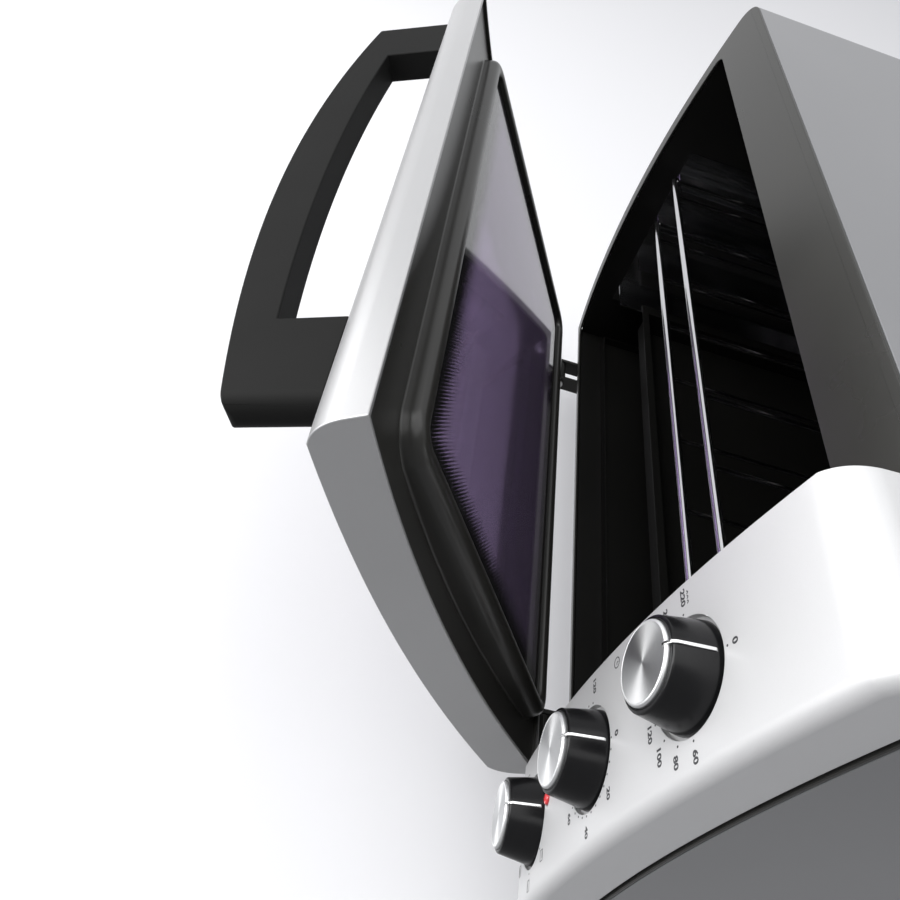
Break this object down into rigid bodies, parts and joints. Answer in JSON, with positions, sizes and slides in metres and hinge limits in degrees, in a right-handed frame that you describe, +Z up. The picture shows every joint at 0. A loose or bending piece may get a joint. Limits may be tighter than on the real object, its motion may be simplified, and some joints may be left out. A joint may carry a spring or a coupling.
{
  "type": "toaster oven",
  "caption": "Counter-top toaster oven with a bowed drop-down glass door, bowed bar handle, side control panel with turning knobs, wire racks and trays.",
  "frame": {"origin": "bottom centre of the bounding box with the door part open, on the plane the feet stand on", "axes": "+Z up; -Y is the front, where the door and the knobs face; +X is to the right seen from the front"},
  "size_m": [0.535, 0.6256, 0.38],
  "materials": {
    "casing_silver": "silver metallic paint, satin",
    "door_silver": "silver metallic lacquer, satin",
    "panel_silver": "silver metallic paint, satin",
    "black_enamel": "black enamel, semi-gloss",
    "cavity_enamel": "black enamel, gloss",
    "black_steel": "black powder coat, matt",
    "bare_steel": "bright zinc plate",
    "element_steel": "heat-darkened steel sheath",
    "chrome": "bright chrome plate",
    "spun_aluminium": "spun face with a bright bevel",
    "pointer_silver": "bright",
    "knob_black": "black, high gloss",
    "handle_black": "charcoal, soft matt",
    "black_plastic": "black, matt",
    "door_glass": "tinted tempered glass",
    "red_lens": "clear red",
    "rubber": "matt",
    "ceramic": "plain"
  },
  "bodies": {
    "chassis": {"base_pan": "black_steel", "foot_front_left": "rubber", "foot_front_right": "rubber", "foot_rear_left": "rubber", "foot_rear_right": "rubber", "outer_casing": "casing_silver", "back_cover": "black_steel", "front_frame": "black_enamel", "cavity_liner": "cavity_enamel", "rack_guide_left": "chrome", "rack_guide_right": "chrome", "upper_element_front": "element_steel", "upper_element_rear": "element_steel", "lower_element_front": "element_steel", "lower_element_rear": "element_steel", "fan_guard": "cavity_enamel", "fan_motor": "bare_steel", "heat_shield": "bare_steel", "thermal_cutout": "ceramic", "terminal_block": "ceramic", "cord_gland": "black_plastic", "control_panel": "panel_silver", "pilot_lens": "red_lens", "pilot_lamp": "black_plastic", "control_bracket": "bare_steel", "thermostat_switch": "ceramic", "timer_switch": "ceramic", "selector_switch": "ceramic", "hinge_bracket_left": "black_steel", "hinge_bracket_right": "black_steel", "hinge_pin_left": "bare_steel", "hinge_pin_right": "bare_steel"},
    "door": {"door_shell": "door_silver", "door_pan": "black_enamel", "door_inner_glass": "door_glass", "door_outer_glass": "door_glass", "handle": "handle_black", "handle_screw_left": "bare_steel", "handle_screw_right": "bare_steel", "hinge_arm_left": "black_steel", "hinge_arm_right": "black_steel"},
    "convection_fan": {"fan_impeller": "bare_steel"},
    "upper_rack": {"upper_wire_rack": "chrome"},
    "lower_rack": {"lower_wire_rack": "chrome"},
    "tray": {"baking_tray": "cavity_enamel"},
    "crumb": {"crumb_tray": "bare_steel"},
    "thermostat_knob": {"thermostat_knob_skirt": "knob_black", "thermostat_knob_cap": "spun_aluminium", "thermostat_knob_pointer": "pointer_silver", "thermostat_shaft": "bare_steel"},
    "timer_knob": {"timer_knob_skirt": "knob_black", "timer_knob_cap": "spun_aluminium", "timer_knob_pointer": "pointer_silver", "timer_shaft": "bare_steel"},
    "selector_knob": {"selector_knob_skirt": "knob_black", "selector_knob_cap": "spun_aluminium", "selector_knob_pointer": "pointer_silver", "selector_shaft": "bare_steel"}
  },
  "joints": [
    {"name": "door_hinge", "type": "hinge", "parent": "chassis", "child": "door", "pos_m": [-0.042, -0.05844, 0.036], "axis": [1, 0, 0], "range_deg": [-32.2, 45]},
    {"name": "thermostat_turn", "type": "hinge", "parent": "chassis", "child": "thermostat_knob", "pos_m": [0.2258, -0.08697, 0.2826], "axis": [0, 0.9971, -0.0764], "range_deg": [0, 273]},
    {"name": "timer_turn", "type": "hinge", "parent": "chassis", "child": "timer_knob", "pos_m": [0.2258, -0.08975, 0.1942], "axis": [0, 0.9999, 0.0136], "range_deg": [0, 282]},
    {"name": "selector_turn", "type": "hinge", "parent": "chassis", "child": "selector_knob", "pos_m": [0.2258, -0.08452, 0.1055], "axis": [0, 0.9946, 0.1039], "range_deg": [0, 240]},
    {"name": "fan_spin", "type": "hinge", "parent": "chassis", "child": "convection_fan", "pos_m": [-0.042, 0.25156, 0.208], "axis": [0, 1, 0], "continuous": true},
    {"name": "upper_rack_slide", "type": "slide", "parent": "chassis", "child": "upper_rack", "axis": [0, -1, 0], "range_m": [0, 0.11]},
    {"name": "lower_rack_slide", "type": "slide", "parent": "chassis", "child": "lower_rack", "axis": [0, -1, 0], "range_m": [0, 0.1]},
    {"name": "baking_tray_slide", "type": "slide", "parent": "chassis", "child": "tray", "axis": [0, -1, 0], "range_m": [0, 0.075]},
    {"name": "crumb_tray_slide", "type": "slide", "parent": "chassis", "child": "crumb", "axis": [0, -1, 0], "range_m": [0, 0.026]}
  ]
}
